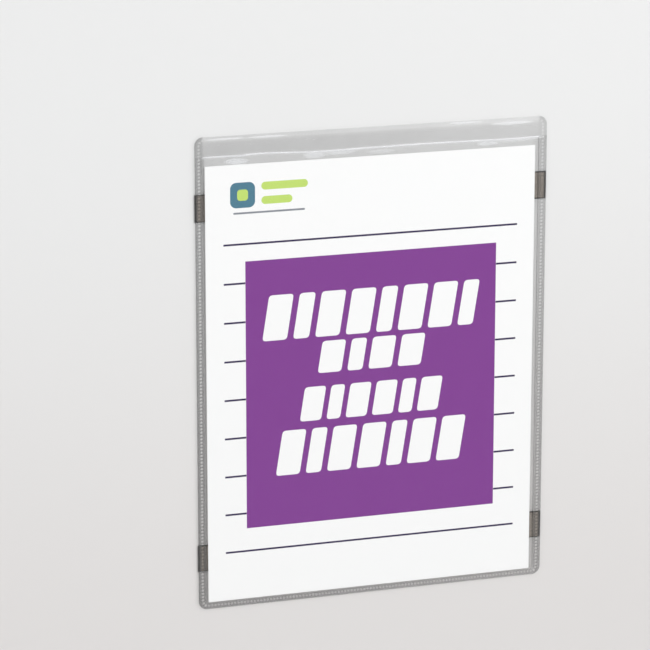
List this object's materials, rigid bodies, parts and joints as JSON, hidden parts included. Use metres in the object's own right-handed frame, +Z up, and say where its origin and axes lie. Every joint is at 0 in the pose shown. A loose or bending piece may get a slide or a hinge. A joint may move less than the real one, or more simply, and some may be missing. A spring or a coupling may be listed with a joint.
{
  "type": "magnetic document pocket",
  "caption": "Clear welded vinyl pocket for a letter sheet, open along its top lip, held on an upright steel surface by magnet strips across its back.",
  "frame": {"origin": "middle of the upper magnet strip's back face, which lies on the steel surface", "axes": "+Y out of the back, into the steel surface; +Z up; +X to the right as the open face is seen, which looks to -Y"},
  "size_m": [0.23, 0.0039, 0.3021],
  "materials": {
    "vinyl": "clear flexible vinyl film, smooth, a little grey",
    "magnet": "dark grey-brown flexible magnet strip, matt",
    "adhesive": "thin transfer adhesive, milky",
    "paper": "white printed letter sheet, matt",
    "violet_ink": "flat printed violet",
    "indigo_ink": "flat printed indigo"
  },
  "bodies": {
    "root": {"back_sheet": "vinyl", "front_sheet": "vinyl", "upper_magnet": "magnet", "lower_magnet": "magnet", "upper_adhesive": "adhesive", "lower_adhesive": "adhesive", "insert_sheet": "paper", "printed_block": "violet_ink", "printed_rule_1": "indigo_ink", "printed_rule_2_left": "indigo_ink", "printed_rule_2_right": "indigo_ink", "printed_rule_3_left": "indigo_ink", "printed_rule_3_right": "indigo_ink", "printed_rule_4_left": "indigo_ink", "printed_rule_4_right": "indigo_ink", "printed_rule_5_left": "indigo_ink", "printed_rule_5_right": "indigo_ink", "printed_rule_6_left": "indigo_ink", "printed_rule_6_right": "indigo_ink", "printed_rule_7_left": "indigo_ink", "printed_rule_7_right": "indigo_ink", "printed_rule_8_left": "indigo_ink", "printed_rule_8_right": "indigo_ink", "printed_rule_9": "indigo_ink"}
  },
  "joints": []
}
